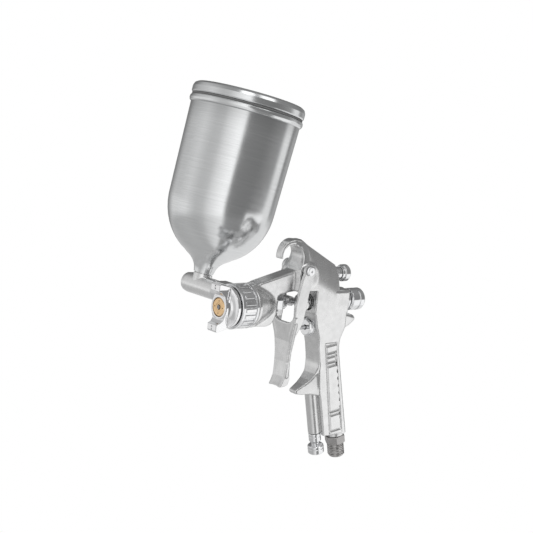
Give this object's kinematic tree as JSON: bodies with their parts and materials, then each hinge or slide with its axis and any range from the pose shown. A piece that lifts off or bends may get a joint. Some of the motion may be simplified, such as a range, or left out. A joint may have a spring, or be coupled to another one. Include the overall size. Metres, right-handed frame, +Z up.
{
  "type": "hvlp spray gun",
  "caption": "Metal gravity-feed paint spray gun: swivelling side cup on an elbow, horned air cap, sprung trigger and needle, control knobs, hanging hook and threaded air inlet.",
  "frame": {"origin": "top of the inside of the hanging hook, on the gun's middle plane, where a peg carries the gun", "axes": "+Z up with the barrel level, -X is the spray direction along the barrel, +Y is the gun's right-hand side, where the cup stands"},
  "size_m": [0.1434, 0.1307, 0.2806],
  "materials": {
    "cast_body": "polished and lightly brushed cast aluminium",
    "chrome": "bright chrome plate",
    "cup_metal": "satin spun aluminium, brushed around its axis",
    "steel": "ground stainless steel",
    "inlet_steel": "dull nickel plated steel",
    "brass": "turned brass",
    "seal": "white fluoropolymer",
    "gasket": "black rubber"
  },
  "bodies": {
    "gun": {"gun_body": "cast_body", "fluid_nozzle": "steel", "air_baffle": "brass", "needle_packing": "seal", "packing_nut": "chrome", "needle_spring": "steel", "needle_guide": "chrome", "pattern_guide": "chrome", "air_valve_gland": "chrome", "air_inlet": "inlet_steel", "regulator_gland": "chrome", "fluid_nipple": "chrome"},
    "trigger": {"trigger": "cast_body", "trigger_pin": "chrome", "trigger_screw": "chrome"},
    "needle": {"fluid_needle": "steel", "needle_collar": "chrome"},
    "air_valve": {"air_valve_stem": "steel"},
    "cap": {"air_cap": "chrome", "air_cap_plate": "brass"},
    "ring": {"air_cap_ring": "chrome"},
    "fluid_control": {"fluid_knob": "chrome"},
    "pattern_control": {"pattern_knob": "chrome", "pattern_stem": "steel"},
    "air_control": {"regulator_knob": "chrome", "regulator_stem": "steel"},
    "union_nut": {"cup_union_nut": "chrome"},
    "cup": {"cup_elbow": "cup_metal", "cup_shell": "cup_metal"},
    "lid": {"cup_lid": "cup_metal", "lid_gasket": "gasket"}
  },
  "joints": [
    {"name": "trigger_pull", "type": "hinge", "parent": "gun", "child": "trigger", "pos_m": [0.0106, 0, -0.0182], "axis": [0, -1, 0], "range_deg": [0, 13], "stiffness_Nm_per_rad": 2, "springref_deg": -6.88},
    {"name": "needle_slide", "type": "slide", "parent": "gun", "child": "needle", "axis": [1, 0, 0], "range_m": [0, 0.0061], "deforming": ["needle_spring"]},
    {"name": "air_valve_slide", "type": "slide", "parent": "gun", "child": "air_valve", "axis": [1, 0, 0], "range_m": [0, 0.011]},
    {"name": "air_cap_turn", "type": "hinge", "parent": "gun", "child": "cap", "pos_m": [-0.0616, 0, -0.0442], "axis": [1, 0, 0], "range_deg": [-90, 90]},
    {"name": "air_cap_ring_turn", "type": "hinge", "parent": "gun", "child": "ring", "pos_m": [-0.0616, 0, -0.0442], "axis": [1, 0, 0], "continuous": true},
    {"name": "fluid_knob_turn", "type": "hinge", "parent": "gun", "child": "fluid_control", "pos_m": [-0.0616, 0, -0.0442], "axis": [1, 0, 0], "continuous": true},
    {"name": "pattern_knob_turn", "type": "hinge", "parent": "gun", "child": "pattern_control", "pos_m": [0.0484, 0, -0.0234], "axis": [1, 0, 0], "continuous": true},
    {"name": "air_knob_turn", "type": "hinge", "parent": "gun", "child": "air_control", "pos_m": [0.0448, 0, -0.1478], "axis": [0.2453, 0, -0.9694], "continuous": true},
    {"name": "union_nut_turn", "type": "hinge", "parent": "gun", "child": "union_nut", "pos_m": [-0.02445, 0.04, -0.0442], "axis": [0, 1, 0], "continuous": true},
    {"name": "cup_tilt", "type": "hinge", "parent": "gun", "child": "cup", "pos_m": [-0.02445, 0.0703, -0.0442], "axis": [0, 1, 0], "range_deg": [-60, 60]},
    {"name": "lid_lift", "type": "slide", "parent": "cup", "child": "lid", "axis": [0.2079, 0, 0.9781], "range_m": [0, 0.04]}
  ],
  "couplings": [
    {"joint": "needle_slide", "follows": "trigger_pull", "m_per_rad": 0.0262},
    {"joint": "air_valve_slide", "follows": "trigger_pull", "m_per_rad": 0.0475}
  ]
}
